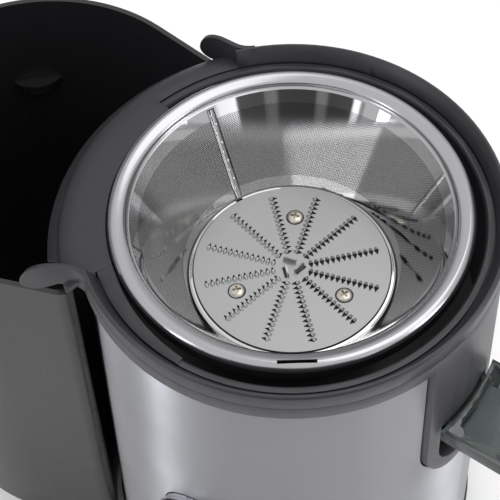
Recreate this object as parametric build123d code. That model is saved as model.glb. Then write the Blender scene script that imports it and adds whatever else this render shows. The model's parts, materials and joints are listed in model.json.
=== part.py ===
from build123d import *
import os
from math import cos, radians, sin, tan

# Centrifugal juicer with its lid off: a motor base, a lift-off bowl with a spinning strainer
# basket, a juice spout on one side and a free-standing pulp bin on the other.
# Millimetres, +Z up. Everything is drawn about the basket's axis, with the bench at Z = 0.
# -X points at the pulp bin and -Y at the speed dial. Saving moves every piece by the same
# amount, which puts the middle of the whole footprint at the origin.

# Heights of the main levels above the bench
RIM_Z = 248.0
DISC_Z = RIM_Z - 42.3
SEAM_Z = RIM_Z - 5.6
COLLAR_BOTTOM_Z = RIM_Z - 13.0
BOWL_FLOOR_Z = 180.0
DECK_Z = 162.0
BASE_TOP_Z = 14.0
SEAM_GAP = 0.3

# Strainer basket
RIM_R = 78.0
CREST_R = 74.5
CREST_RISE = 2.0
RIM_INNER_R = 69.4
RIM_HEM = 6.0
SLOT_ANGLE = -61.3
SLOT_LENGTH = 16.0
SHEET = 0.8
CONE_TOP_R = 68.6
CONE_TOP_Z = RIM_Z - 1.8
CONE_BOTTOM_R = 45.1
CONE_BOTTOM_Z = RIM_Z - 43.4
CONE_WALL = 0.6
OVERLAP_ANGLE = 148.9
OVERLAP_WIDTH = 3.6

# Grater disc
DISC_R = 43.6
DISC_THICKNESS = 1.0
TOOTH_ROWS = 12
TEETH_PER_ROW = 13
TOOTH_FIRST_R = 8.6
TOOTH_PITCH = 2.5
TOOTH_SIZE = 1.9
TOOTH_RISE = 1.3
ROW_START_ANGLE = 40.5
TAB_COUNT = 3
TAB_R = 3.4
TAB_LENGTH = 5.0
TAB_HEIGHT = 2.6
SCREW_RING_R = 27.2
SCREW_COUNT = 3
SCREW_START_ANGLE = 114.0
SCREW_R = 2.0
SCREW_HEAD_R = 3.7
SCREW_HEAD_HEIGHT = 1.6

# Drive
SOCKET_LOBES = 6
SOCKET_R = 5.6
LOBE_R = 1.9
COUPLING_CLEARANCE = 0.25
HUB_R = 10.6
CHIMNEY_R = 12.0
CHIMNEY_WALL = 2.0
SHAFT_R = 4.0
SHAFT_TIP_R = 3.0
BEARING_CLEARANCE = 0.1

# Bowl
GAP_OUTER_R = 82.7
BOWL_INNER_R = 82.2
BOWL_OUTER_R = 84.4
FLANGE_R = 92.0
WALL_INNER_R = 90.3
WALL_TOP_Z = RIM_Z + 2.8
LEDGE_Z = RIM_Z - 4.0
GROOVE_R = 85.9
GROOVE_HALF = 0.4
RAMP_EDGE_R = 100.5
LIP_R = 105.0
EAR_HOOK_R = 11.4
EAR_TAIL = 26.0
EAR_ROOT_X = -54.0
EAR_BOTTOM_Z = RIM_Z - 13.6
# Each ear is (angle of its root, angle about its hook where its straight tail starts, X of its tip)
FRONT_EAR = (129.5, 245.0, -88.2)
BACK_EAR = (127.5, 265.0, -83.2)
WALL_END_ANGLE = 133.0
RAMP_START_ANGLE = 160.0
RAMP_END_ANGLE = 226.0
RAMP_INNER_R = 78.7
TONGUE_END_ANGLE = 266.0
TONGUE_SHIFT = 6.4
EAR_THICKNESS = 2.0
OUTLET_HALF_WIDTH = 13.0

# Motor base
SLEEVE_TOP_R = 89.2
SLEEVE_BOTTOM_R = 92.0
SLEEVE_WALL = 1.6
COLLAR_INNER_R = 87.4
SKIRT_R = 85.6
SKIRT_WALL = 1.6
SKIRT_BOTTOM_Z = 205.0
BASE_R = 93.0
LEG_R = 6.0
LEG_RING_R = 72.0
LEG_COUNT = 4
LEG_START_ANGLE = 45.0
CORD_Z = 34.0

# Spout window in the base
SPOUT_ANGLE = -7.6
FRAME_HALF_WIDTH = 25.6
WINDOW_HALF_WIDTH = 18.7
WINDOW_ARC_Z = 160.5
WINDOW_TOP_Z = 182.0
FRAME_GAP = 0.8
FRAME_INNER_R = 86.5
FRAME_BOTTOM_R = 93.4

# Spout
SPOUT_HALF_WIDTH = 21.8
SPOUT_WALL = 2.0
SPOUT_TOP_Z = 184.0
SPOUT_FLOOR_Z = 176.5
SPOUT_INNER_R = 94.6
SPOUT_END_R = 129.5
NOZZLE_START_R = 118.0
NOZZLE_HALF_WIDTH = 12.0
NOZZLE_BOTTOM_Z = 168.0
NECK_START_R = 85.3
NECK_HALF_WIDTH = 15.0

# Pulp bin
BIN_CENTRE_X = -129.0
BIN_R = 82.0
BIN_RIM_Z = RIM_Z - 18.0
BIN_WALL = 2.4
BIN_DRAFT = 3.0
BIN_SIDE_ANGLE = 77.0
BIN_SIDE_X = -70.5
BIN_CORNER_R = 6.0
BIN_HOLLOW_R = 96.5
GRIP_ANGLE = 127.0
GRIP_Z = RIM_Z - 72.0
GRIP_R = 17.0
GRIP_DEPTH = 8.5

# Speed dial
DIAL_Z = 114.5
KNOB_R = 18.5
BEZEL_R = 23.0
BEZEL_FRONT_Y = -97.0
KNOB_FRONT_Y = -108.0

# Motor
STATOR_SIDE = 84.0
STATOR_Z = 86.0
STATOR_HEIGHT = 36.0
ROTOR_R = 26.4
STATOR_BORE_R = 27.0
BOLT_OFFSET = 34.0


# ---- shared shapes ----------------------------------------------------------------------

def turned(points, start=0, arc=360):
    """A profile of (radius, height) points turned about the basket's axis."""
    profile = make_face(Plane.XZ * Polyline(*points, close=True))
    return Rot(0, 0, start) * revolve(profile, Axis.Z, arc)


def tube(outer_r, inner_r, bottom, top):
    return turned([(inner_r, bottom), (outer_r, bottom), (outer_r, top), (inner_r, top)])


def rod(radius, bottom, top):
    return turned([(0, bottom), (radius, bottom), (radius, top), (0, top)])


def block(x_range, y_range, z_range):
    size = [high - low for low, high in (x_range, y_range, z_range)]
    middle = [(low + high) / 2 for low, high in (x_range, y_range, z_range)]
    return Pos(*middle) * Box(*size)


def around(shape, count, start=0):
    """Copies of a shape about the basket's axis."""
    return [Rot(0, 0, start + k * 360 / count) * shape for k in range(count)]


def front_rod(radius, back_y, front_y):
    """A rod through the dial's centre, lying along Y."""
    return Pos(0, (back_y + front_y) / 2, DIAL_Z) * Rot(90, 0, 0) * Cylinder(radius, back_y - front_y)


def front_tube(outer_r, inner_r, back_y, front_y):
    return front_rod(outer_r, back_y, front_y) - front_rod(inner_r, back_y + 1, front_y - 1)


def spout_u(half_width, top, inner_r, outer_r):
    """A U-shaped block pointing out along the spout, round at its foot."""
    middle = (WINDOW_ARC_Z + top) / 2
    outline = Pos(0, WINDOW_ARC_Z) * Circle(half_width)
    outline += Pos(0, middle) * Rectangle(2 * half_width, top - WINDOW_ARC_Z)
    solid = extrude(Plane.YZ.offset(inner_r) * outline, amount=outer_r - inner_r)
    return Rot(0, 0, SPOUT_ANGLE) * solid


def spout_block(r_range, half_width, z_range):
    return Rot(0, 0, SPOUT_ANGLE) * block(r_range, (-half_width, half_width), z_range)


# ---- strainer basket --------------------------------------------------------------------

def basket_rim():
    """Rolled steel rim with a crest, a turned-down hem and a balancing slot."""
    ring = turned([
        (RIM_INNER_R, CONE_TOP_Z), (71.0, RIM_Z + 0.8), (CREST_R - 1.5, RIM_Z + 1.8),
        (CREST_R, RIM_Z + CREST_RISE), (CREST_R + 1.5, RIM_Z + 1.7), (RIM_R - 0.6, RIM_Z + 0.5),
        (RIM_R, RIM_Z - 0.6), (RIM_R, RIM_Z - RIM_HEM), (RIM_R - SHEET, RIM_Z - RIM_HEM),
        (RIM_R - SHEET, RIM_Z - 0.8), (CREST_R + 1.3, RIM_Z + 0.9), (CREST_R, RIM_Z + 1.2),
        (71.3, RIM_Z), (RIM_INNER_R + SHEET, CONE_TOP_Z),
    ])
    slot = Pos(CREST_R, 0, RIM_Z) * Box(1.6, SLOT_LENGTH, 8.0)
    return ring - Rot(0, 0, SLOT_ANGLE) * slot


def cone_radius(z):
    """Inner radius of the strainer cone at a height."""
    share = (z - CONE_BOTTOM_Z) / (CONE_TOP_Z - CONE_BOTTOM_Z)
    return CONE_BOTTOM_R + share * (CONE_TOP_R - CONE_BOTTOM_R)


def basket_mesh():
    """The perforated cone, as a closed thin wall that meets the rim."""
    return turned([
        (CONE_BOTTOM_R, CONE_BOTTOM_Z), (CONE_BOTTOM_R + CONE_WALL, CONE_BOTTOM_Z),
        (CONE_TOP_R + CONE_WALL, CONE_TOP_Z), (CONE_TOP_R, CONE_TOP_Z),
    ])


def overlap_strip():
    """The welded overlap of the rolled cone, a thin strip on its inner face."""
    strip_sheet = 0.5
    low = CONE_BOTTOM_Z + 1.6
    high = CONE_TOP_Z - 0.3
    skin = turned([
        (cone_radius(low) - strip_sheet, low), (cone_radius(low), low),
        (cone_radius(high), high), (cone_radius(high) - strip_sheet, high),
    ])
    slab = block((30, 80), (-OVERLAP_WIDTH / 2, OVERLAP_WIDTH / 2), (low - 1, high + 1))
    return skin & (Rot(0, 0, OVERLAP_ANGLE) * slab)


def drive_star(grow, bottom, top):
    """The six-lobed drive shape shared by the socket and the coupling."""
    outline = Circle(SOCKET_R + grow)
    for k in range(SOCKET_LOBES):
        turn = radians(k * 360 / SOCKET_LOBES)
        outline += Pos(SOCKET_R * cos(turn), SOCKET_R * sin(turn)) * Circle(LOBE_R + grow)
    return extrude(Plane.XY.offset(bottom) * outline, amount=top - bottom)


def basket_base():
    """The moulded floor that carries the cone, with the drive hub under it."""
    floor = CONE_BOTTOM_Z
    body = turned([
        (0, floor - 3.2), (CONE_BOTTOM_R + 2.2, floor - 3.2), (CONE_BOTTOM_R + 2.2, floor),
        (DISC_R - 0.6, floor), (DISC_R - 0.6, DISC_Z - DISC_THICKNESS),
        (0, DISC_Z - DISC_THICKNESS),
    ])
    body += rod(HUB_R, 186, floor - 3.0)
    body += tube(CHIMNEY_R + CHIMNEY_WALL + 3.2, CHIMNEY_R + CHIMNEY_WALL + 1.4, 190, floor - 3.0)
    body -= drive_star(COUPLING_CLEARANCE, 185, floor - 3.6)
    pilot = rod(SCREW_R - 0.4, floor - 3.3, RIM_Z)
    for hole in screw_places(pilot):
        body -= hole
    return body


def screw_places(shape):
    return around(Pos(SCREW_RING_R, 0, 0) * shape, SCREW_COUNT, SCREW_START_ANGLE)


def grater_tooth():
    """One punched tooth: a wedge whose point leans clockwise, seen from above."""
    half = TOOTH_SIZE / 2
    outline = Polyline((-half, 0), (half, 0), (0, -TOOTH_SIZE), close=True)
    low = make_face(outline)
    wedge = extrude(low, amount=TOOTH_RISE)
    lean = Rot(-34, 0, 0) * block((-3, 3), (-4, 4), (0, 6))
    return wedge - Pos(0, 0, 0.1) * lean


def grater_disc():
    """The steel disc with its rows of teeth and the small blades at its centre."""
    disc = rod(DISC_R, DISC_Z - DISC_THICKNESS, DISC_Z)
    for hole in screw_places(rod(SCREW_R + 0.1, DISC_Z - 3, DISC_Z + 1)):
        disc -= hole
    tooth = Pos(0, 0, DISC_Z) * grater_tooth()
    teeth = []
    for k in range(TEETH_PER_ROW):
        row = Pos(TOOTH_FIRST_R + k * TOOTH_PITCH, 0, 0) * tooth
        teeth += around(row, TOOTH_ROWS, ROW_START_ANGLE)
    tab = Pos(TAB_R, 0, DISC_Z + TAB_HEIGHT / 2) * Rot(0, 0, -33) * Box(0.9, TAB_LENGTH, TAB_HEIGHT)
    return disc + teeth + around(tab, TAB_COUNT, 30.0)


def pan_screw(head_z, length):
    """A pan-head screw with a cross recess, head up, on the axis."""
    shank = rod(SCREW_R - 0.4, head_z - length, head_z)
    head = turned([
        (0, head_z), (SCREW_HEAD_R, head_z), (SCREW_HEAD_R, head_z + 0.7),
        (SCREW_HEAD_R - 0.8, head_z + 1.3), (SCREW_HEAD_R - 2.0, head_z + SCREW_HEAD_HEIGHT),
        (0, head_z + SCREW_HEAD_HEIGHT),
    ])
    recess = Pos(0, 0, head_z + SCREW_HEAD_HEIGHT) * (Box(3.6, 0.8, 1.6) + Box(0.8, 3.6, 1.6))
    return shank + head - recess


def disc_screws():
    return screw_places(pan_screw(DISC_Z, 4.0))


# ---- bowl -------------------------------------------------------------------------------

def ear(root_angle, tail_angle, tip_x):
    """The end of the bowl's wall on the +Y side: it hooks outwards and ends in a lobe over the bin."""
    centre_r = FLANGE_R + EAR_HOOK_R
    centre = Pos(centre_r * cos(radians(root_angle)), centre_r * sin(radians(root_angle)), 0)
    bottom = EAR_BOTTOM_Z - 1
    top = WALL_TOP_Z
    hook = turned([
        (EAR_HOOK_R, bottom), (EAR_HOOK_R + EAR_THICKNESS, bottom),
        (EAR_HOOK_R + EAR_THICKNESS, top), (EAR_HOOK_R, top),
    ], tail_angle, root_angle + 182 - tail_angle)
    tail_middle = Pos(EAR_HOOK_R + EAR_THICKNESS / 2, -EAR_TAIL / 2, (bottom + top) / 2)
    tail = Rot(0, 0, tail_angle) * tail_middle * Box(EAR_THICKNESS, EAR_TAIL, top - bottom)
    lobe = [
        (tip_x + 13.0, top), (tip_x + 7.5, RIM_Z + 1.6), (tip_x + 3.2, RIM_Z - 1.4),
        (tip_x + 0.4, RIM_Z - 6.8), (tip_x + 0.6, RIM_Z - 11.2), (tip_x + 4.5, EAR_BOTTOM_Z),
        (tip_x + 9.5, RIM_Z - 12.6), (tip_x + 14.5, RIM_Z - 9.6),
    ]
    root = [lobe[-1], (EAR_ROOT_X, RIM_Z - 9.0), (EAR_ROOT_X, top), lobe[0]]
    side = make_face([Plane.XZ * Spline(*lobe), Plane.XZ * Polyline(*root)])
    silhouette = extrude(side, amount=110, both=True)
    collar_room = rod(FLANGE_R + 0.4, bottom - 1, SEAM_Z + SEAM_GAP / 2)
    return ((centre * (hook + tail)) & silhouette) - collar_room


def juice_bowl():
    """The lift-off bowl: inner cup, ledge and lid groove, outer wall, ramp to the bin, ears."""
    flange_bottom = SEAM_Z + SEAM_GAP / 2
    bowl = turned([
        (CHIMNEY_R, BOWL_FLOOR_Z), (BOWL_OUTER_R, BOWL_FLOOR_Z), (BOWL_OUTER_R, 236.0),
        (86.8, 238.0), (86.8, flange_bottom), (FLANGE_R, flange_bottom),
        (FLANGE_R, WALL_TOP_Z - 1.0), (FLANGE_R - 0.8, WALL_TOP_Z), (WALL_INNER_R, WALL_TOP_Z),
        (GROOVE_R + GROOVE_HALF, LEDGE_Z + 0.4), (GROOVE_R + GROOVE_HALF, LEDGE_Z - 2.0),
        (GROOVE_R - GROOVE_HALF, LEDGE_Z - 2.0), (GROOVE_R - GROOVE_HALF, LEDGE_Z),
        (GAP_OUTER_R + 0.4, LEDGE_Z), (BOWL_INNER_R, LEDGE_Z - 1.0),
        (BOWL_INNER_R, BOWL_FLOOR_Z + 2.5), (CHIMNEY_R + CHIMNEY_WALL, BOWL_FLOOR_Z + 2.5),
        (CHIMNEY_R + CHIMNEY_WALL, 196.0), (CHIMNEY_R, 196.0),
    ])
    open_arc = 360 - 2 * WALL_END_ANGLE
    bowl -= turned([
        (GROOVE_R + GROOVE_HALF, flange_bottom - 1), (FLANGE_R + 2, flange_bottom - 1),
        (FLANGE_R + 2, WALL_TOP_Z + 1), (GROOVE_R + GROOVE_HALF, WALL_TOP_Z + 1),
    ], WALL_END_ANGLE, open_arc)
    bowl += turned([
        (GROOVE_R + GROOVE_HALF, LEDGE_Z + 0.4), (92.0, RIM_Z - 4.3), (95.5, RIM_Z - 5.8),
        (98.4, RIM_Z - 7.8), (100.0, RIM_Z - 10.0), (RAMP_EDGE_R, RIM_Z - 12.0),
        (LIP_R, RIM_Z - 16.0), (LIP_R - 0.9, RIM_Z - 17.2), (98.6, RIM_Z - 12.4),
        (97.4, RIM_Z - 9.6), (94.8, RIM_Z - 7.8), (92.9, RIM_Z - 7.2), (92.9, flange_bottom),
        (86.4, flange_bottom), (86.4, LEDGE_Z - 3.0), (GROOVE_R + GROOVE_HALF, LEDGE_Z - 3.0),
    ], WALL_END_ANGLE, open_arc)
    bowl += turned([
        (RAMP_INNER_R, RIM_Z - 2.0), (87.0, RIM_Z - 3.6), (92.0, RIM_Z - 4.3), (91.0, flange_bottom),
        (86.6, flange_bottom), (BOWL_INNER_R, LEDGE_Z - 3.0), (RAMP_INNER_R, RIM_Z - 3.4),
    ], RAMP_START_ANGLE, RAMP_END_ANGLE - RAMP_START_ANGLE)
    tongue = turned([
        (RAMP_INNER_R, RIM_Z - 2.0), (GROOVE_R - GROOVE_HALF, RIM_Z - 3.5),
        (GROOVE_R - GROOVE_HALF, LEDGE_Z - 1.0), (BOWL_INNER_R, LEDGE_Z - 3.0), (RAMP_INNER_R, RIM_Z - 3.4),
    ], RAMP_END_ANGLE - 1, TONGUE_END_ANGLE - RAMP_END_ANGLE)
    turn = radians(TONGUE_END_ANGLE + 90)
    bowl += tongue - Pos(TONGUE_SHIFT * cos(turn), TONGUE_SHIFT * sin(turn), 0) * rod(GAP_OUTER_R, 200, 260)
    bowl += ear(*BACK_EAR)
    bowl += mirror(ear(*FRONT_EAR), Plane.XZ)
    return bowl - spout_block((78, 90), OUTLET_HALF_WIDTH, (BOWL_FLOOR_Z + 2.5, 192.0))


# ---- motor base -------------------------------------------------------------------------

def housing_collar():
    """The dark collar under the bowl's flange, in one piece with the spout's frame."""
    top = SEAM_Z - SEAM_GAP / 2
    collar = turned([
        (SKIRT_R, SKIRT_BOTTOM_Z), (SKIRT_R + SKIRT_WALL, SKIRT_BOTTOM_Z),
        (SKIRT_R + SKIRT_WALL, COLLAR_BOTTOM_Z), (FLANGE_R, COLLAR_BOTTOM_Z), (FLANGE_R, top),
        (COLLAR_INNER_R, top), (COLLAR_INNER_R, COLLAR_BOTTOM_Z + 2.0), (SKIRT_R, COLLAR_BOTTOM_Z),
    ])
    foot = WINDOW_ARC_Z - FRAME_HALF_WIDTH
    shell = turned([
        (FRAME_INNER_R, foot - 1), (FRAME_BOTTOM_R, foot - 1),
        (FLANGE_R, COLLAR_BOTTOM_Z + 0.5), (FRAME_INNER_R, COLLAR_BOTTOM_Z + 0.5),
    ])
    frame = spout_u(FRAME_HALF_WIDTH, COLLAR_BOTTOM_Z + 1, 70, 110) & shell
    panel_sheet = 2.4
    hollow = turned([
        (FRAME_INNER_R - 1, WINDOW_TOP_Z + 2), (FRAME_BOTTOM_R - 0.8 - panel_sheet, WINDOW_TOP_Z + 2),
        (FLANGE_R - panel_sheet, SKIRT_BOTTOM_Z), (FRAME_INNER_R - 1, SKIRT_BOTTOM_Z),
    ])
    frame -= spout_u(WINDOW_HALF_WIDTH, 230, 70, 110) & hollow
    collar += frame
    window = Rot(0, 0, SPOUT_ANGLE) * block((70, 110), (-50, 50), (100, WINDOW_TOP_Z))
    return collar - (spout_u(WINDOW_HALF_WIDTH, 200, 70, 110) & window)


def body_shell():
    """The brushed steel sleeve, cut for the spout's frame, the dial and the cord."""
    sleeve = turned([
        (SLEEVE_BOTTOM_R - SLEEVE_WALL, BASE_TOP_Z), (SLEEVE_BOTTOM_R, BASE_TOP_Z),
        (SLEEVE_TOP_R, COLLAR_BOTTOM_Z), (SLEEVE_TOP_R - SLEEVE_WALL, COLLAR_BOTTOM_Z),
    ])
    sleeve -= spout_u(FRAME_HALF_WIDTH + FRAME_GAP, COLLAR_BOTTOM_Z + 5, 60, 110)
    sleeve -= front_rod(BEZEL_R - 1.0, -60, -120)
    return sleeve - Pos(0, 90, CORD_Z) * Rot(90, 0, 0) * Cylinder(7.0, 30)


def base_plate():
    """The moulded bottom with its locating rib, foot wells, leg posts and air slots."""
    plate = turned([
        (0, 5.0), (BASE_R, 5.0), (BASE_R, BASE_TOP_Z), (SLEEVE_BOTTOM_R - SLEEVE_WALL - 0.3, BASE_TOP_Z),
        (SLEEVE_BOTTOM_R - SLEEVE_WALL - 0.3, 24.0), (88.2, 24.0), (88.2, 8.0), (0, 8.0),
    ])
    for post in around(Pos(LEG_RING_R, 0, 0) * rod(LEG_R + 3.0, 7.0, BASE_TOP_Z), LEG_COUNT, LEG_START_ANGLE):
        plate += post
    for hole in around(Pos(LEG_RING_R, 0, 0) * rod(2.2, 4, 20), LEG_COUNT, LEG_START_ANGLE):
        plate -= hole
    for well in around(Pos(LEG_RING_R, 0, 0) * rod(4.2, 4, 8.5), LEG_COUNT, LEG_START_ANGLE):
        plate -= well
    slot = Pos(34, 0, 6.5) * Box(26, 3.0, 6)
    for cut in around(slot, 16):
        plate -= cut
    return plate


def rubber_feet():
    """Four round feet on the bottom, between the screws."""
    foot = turned([(0, 0), (8.0, 0), (9.0, 1.0), (9.0, 5.0), (0, 5.0)])
    return around(Pos(76, 0, 0) * foot, 4, 0)


def base_screws():
    """Four screws up through the bottom into the legs."""
    screw = rod(2.0, 8.5, 30.0) + rod(4.0, 6.0, 8.5)
    recess = Box(4.4, 0.9, 2.0) + Box(0.9, 4.4, 2.0)
    return around(Pos(LEG_RING_R, 0, 0) * (screw - Pos(0, 0, 6.0) * recess), LEG_COUNT, LEG_START_ANGLE)


def motor_deck():
    """The inner deck under the bowl, standing on four legs, with the upper bearing's seat."""
    deck = rod(SKIRT_R + 0.6, DECK_Z, DECK_Z + 4.0)
    deck += rod(16.0, DECK_Z - 10.0, DECK_Z + 4.0)
    for leg in around(Pos(LEG_RING_R, 0, 0) * rod(LEG_R, BASE_TOP_Z, DECK_Z + 1), LEG_COUNT, LEG_START_ANGLE):
        deck += leg
    for hole in around(Pos(LEG_RING_R, 0, 0) * rod(2.0, BASE_TOP_Z - 1, 30), LEG_COUNT, LEG_START_ANGLE):
        deck -= hole
    deck -= rod(11.0, DECK_Z - 11.0, DECK_Z + 1.0)
    return deck - rod(9.0, DECK_Z, DECK_Z + 5.0)


def upper_bearing():
    return tube(11.0, SHAFT_R + BEARING_CLEARANCE, DECK_Z - 7.0, DECK_Z)


def shaft_seal():
    """The lip seal that keeps juice out of the motor."""
    return turned([
        (5.0, DECK_Z + 1.0), (9.0, DECK_Z + 1.0), (9.0, DECK_Z + 5.0), (7.6, DECK_Z + 5.0),
        (7.6, DECK_Z + 2.4), (SHAFT_R + BEARING_CLEARANCE, DECK_Z + 2.4),
        (SHAFT_R + BEARING_CLEARANCE, DECK_Z + 1.6),
    ])


def motor_stator():
    """The laminated stack with its round bore and two bolt holes."""
    outline = RectangleRounded(STATOR_SIDE, STATOR_SIDE, 14)
    stack = extrude(Plane.XY.offset(STATOR_Z) * outline, amount=STATOR_HEIGHT)
    stack -= rod(STATOR_BORE_R, STATOR_Z - 1, STATOR_Z + STATOR_HEIGHT + 1)
    for side in (-1, 1):
        stack -= Pos(side * BOLT_OFFSET, side * BOLT_OFFSET, 0) * rod(2.2, STATOR_Z - 1, STATOR_Z + 60)
    return stack


def field_coils():
    """The windings where they leave the stack, one ring above and one below."""
    ring = [(29.0, 0), (38.0, 0), (38.0, 5.5), (35.5, 8.0), (31.0, 8.0), (29.0, 6.0)]
    above = turned([(r, STATOR_Z + STATOR_HEIGHT + z) for r, z in ring])
    below = turned([(r, STATOR_Z - z) for r, z in ring])
    return [above, below]


def motor_bolts():
    """Two long bolts that hang the stator and the lower bridge from the deck."""
    bolt = rod(2.0, 52.0, DECK_Z) + rod(3.6, 49.0, 52.0)
    return [Pos(side * BOLT_OFFSET, side * BOLT_OFFSET, 0) * bolt for side in (-1, 1)]


def bearing_bridge():
    """The bar below the motor that holds the lower bearing and the brush holders."""
    outline = RectangleRounded(118, 24, 11)
    bar = extrude(Plane.XY.offset(52.0) * (Rot(0, 0, 45) * outline), amount=6.0)
    bar += rod(14.0, 50.0, 58.0)
    bar -= rod(9.5, 49.0, 60.0)
    for side in (-1, 1):
        bar -= Pos(side * BOLT_OFFSET, side * BOLT_OFFSET, 0) * rod(2.2, 50, 60)
    return bar


def bridge_spacers():
    """Tubes on the long bolts that hold the bridge below the stack."""
    spacer = tube(4.2, 2.2, 58.0, STATOR_Z)
    return [Pos(side * BOLT_OFFSET, side * BOLT_OFFSET, 0) * spacer for side in (-1, 1)]


def lower_bearing():
    return tube(9.5, SHAFT_TIP_R + BEARING_CLEARANCE, 51.0, 57.0)


def carbon_brushes():
    brush = block((13.2, 30.0), (-3.0, 3.0), (66.0, 75.0))
    return [Rot(0, 0, 45) * brush, Rot(0, 0, 225) * brush]


def brush_holders():
    """Moulded guides that stand on the bridge round each brush."""
    guide = block((18.0, 29.0), (-6.0, 6.0), (58.0, 78.0)) - block((10.0, 40.0), (-3.0, 3.0), (66.0, 75.0))
    return [Rot(0, 0, 45) * guide, Rot(0, 0, 225) * guide]


def control_board():
    """The speed-control board on its two posts, with its larger components."""
    board = block((-32, 32), (18, 62), (20.0, 21.6))
    board += block((-24, -6), (26, 40), (21.0, 36.0))
    board += Pos(14, 44, 0) * rod(8.0, 21.0, 40.0)
    board += block((-20, 0), (48, 58), (21.0, 31.0))
    for x in (-26, 26):
        board += Pos(x, 22, 0) * rod(3.0, 8.0, 20.5)
    return board


def cord_gland():
    """The moulded bush in the back of the sleeve where the mains cord enters; no cord."""
    bush = Rot(90, 0, 0) * Cylinder(6.8, 24) + Pos(0, 8, 0) * Rot(90, 0, 0) * Cylinder(8.6, 5)
    bore = Rot(90, 0, 0) * Cylinder(3.6, 40)
    return Pos(0, 89, CORD_Z) * (bush - bore)


# ---- speed dial -------------------------------------------------------------------------

def dial_bezel():
    """The fixed cup in the front of the sleeve that the knob turns in."""
    cup = front_rod(BEZEL_R - 1.3, -82.0, BEZEL_FRONT_Y) + front_rod(BEZEL_R, -92.0, BEZEL_FRONT_Y)
    cup -= front_rod(KNOB_R + 1.9, -84.5, BEZEL_FRONT_Y - 1)
    sleeve_inside = rod(SLEEVE_BOTTOM_R + 0.4, DIAL_Z - 40, DIAL_Z + 40)
    brim = front_tube(BEZEL_R + 2, BEZEL_R - 1.3, -70.0, -93.0) & sleeve_inside
    return cup - brim - front_rod(3.4, -80, -90)


def light_ring():
    """The ring round the knob that lights up, sitting in the cup."""
    return front_tube(KNOB_R + 1.9, KNOB_R + 0.5, -84.5, BEZEL_FRONT_Y + 1.0)


def dial_knob():
    """The turning knob: a shallow drum with a raised grip bar and a dished face."""
    knob = front_rod(KNOB_R, -88.0, KNOB_FRONT_Y + 3.0)
    knob = fillet(knob.edges().group_by(Axis.Y)[0], 1.5)
    bar = Pos(0, KNOB_FRONT_Y + 3.0, DIAL_Z) * Box(8.0, 6.0, 30.0)
    bar = fillet(bar.edges().filter_by(Axis.Z), 2.4)
    knob += bar
    return knob - front_rod(3.0, -80, -98)


def dial_shaft():
    return front_rod(3.0, -69.0, -98.0)


def dial_pointer():
    """The pale index line let into the top of the grip bar."""
    return Pos(0, KNOB_FRONT_Y - 0.15, DIAL_Z + 9.5) * Box(1.6, 0.3, 8.0)


def speed_switch():
    """The rotary switch behind the dial."""
    return front_rod(14.0, -54.0, -68.8) + block((-20, 20), (-67.5, -66.0), (DIAL_Z - 20, DIAL_Z + 20))


# ---- turning parts of the motor ---------------------------------------------------------

def motor_shaft():
    return rod(SHAFT_R, 58.0, 196.0) + rod(SHAFT_TIP_R, 48.0, 58.5)


def rotor_core():
    core = tube(ROTOR_R, SHAFT_R, STATOR_Z + 1, STATOR_Z + STATOR_HEIGHT - 1)
    slot = Pos(ROTOR_R, 0, STATOR_Z + STATOR_HEIGHT / 2) * Box(5.0, 1.6, STATOR_HEIGHT + 2)
    for cut in around(slot, 12):
        core -= cut
    return core


def commutator():
    drum = tube(13.0, SHAFT_R, 62.0, 78.0)
    for cut in around(Pos(13.0, 0, 70.0) * Box(1.6, 0.6, 20), 12):
        drum -= cut
    return drum


def cooling_fan():
    fan = tube(9.0, SHAFT_R, 134.0, 148.0) + tube(38.0, SHAFT_R, 134.0, 136.0)
    blade = Rot(0, 0, 20) * block((10.0, 37.0), (-0.8, 0.8), (135.0, 147.0))
    for vane in around(blade, 11):
        fan += vane
    return fan - rod(SHAFT_R, 130, 150)


def drive_coupling():
    """The lobed coupling pressed on the shaft, with a flange that throws off drips."""
    body = drive_star(0, 172.0, 199.0) + rod(11.0, 169.0, 172.5)
    return body - rod(SHAFT_R, 168.0, 196.0)


# ---- spout ------------------------------------------------------------------------------

def juice_spout():
    """An open trough that starts inside the window, with a down-turned nozzle at its end."""
    hug = turned([
        (SPOUT_INNER_R, SPOUT_FLOOR_Z), (140, SPOUT_FLOOR_Z), (140, SPOUT_TOP_Z), (SPOUT_INNER_R, SPOUT_TOP_Z),
    ], -45, 72)
    tray = spout_block((60, SPOUT_END_R), SPOUT_HALF_WIDTH, (SPOUT_FLOOR_Z, SPOUT_TOP_Z)) & hug
    tray += spout_block((NOZZLE_START_R - 2, SPOUT_END_R), NOZZLE_HALF_WIDTH + 2, (NOZZLE_BOTTOM_Z, SPOUT_FLOOR_Z + 1))
    neck = spout_block((70, 105), NECK_HALF_WIDTH, (SPOUT_FLOOR_Z - 0.3, 181.4))
    neck &= turned([(NECK_START_R, 160), (110, 160), (110, 190), (NECK_START_R, 190)], -45, 72)
    tray += neck
    cavity = turned([
        (SPOUT_INNER_R + 1.6, SPOUT_TOP_Z + 1), (150, SPOUT_TOP_Z + 1), (150, SPOUT_FLOOR_Z + 2),
        (SPOUT_INNER_R + 6.5, SPOUT_FLOOR_Z + 2), (SPOUT_INNER_R + 1.6, SPOUT_TOP_Z - 1),
    ], -45, 72)
    trough = (NOZZLE_START_R - 40, SPOUT_END_R - SPOUT_WALL)
    tray -= spout_block(trough, SPOUT_HALF_WIDTH - SPOUT_WALL, (SPOUT_FLOOR_Z + 2, 190)) & cavity
    tray -= spout_block((70, 110), NECK_HALF_WIDTH - 1.6, (SPOUT_FLOOR_Z + 1.6, 181.5))
    nozzle = (NOZZLE_START_R, SPOUT_END_R - SPOUT_WALL)
    return tray - spout_block(nozzle, NOZZLE_HALF_WIDTH, (NOZZLE_BOTTOM_Z - 1, SPOUT_FLOOR_Z + 5))


# ---- pulp bin ---------------------------------------------------------------------------

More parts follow.
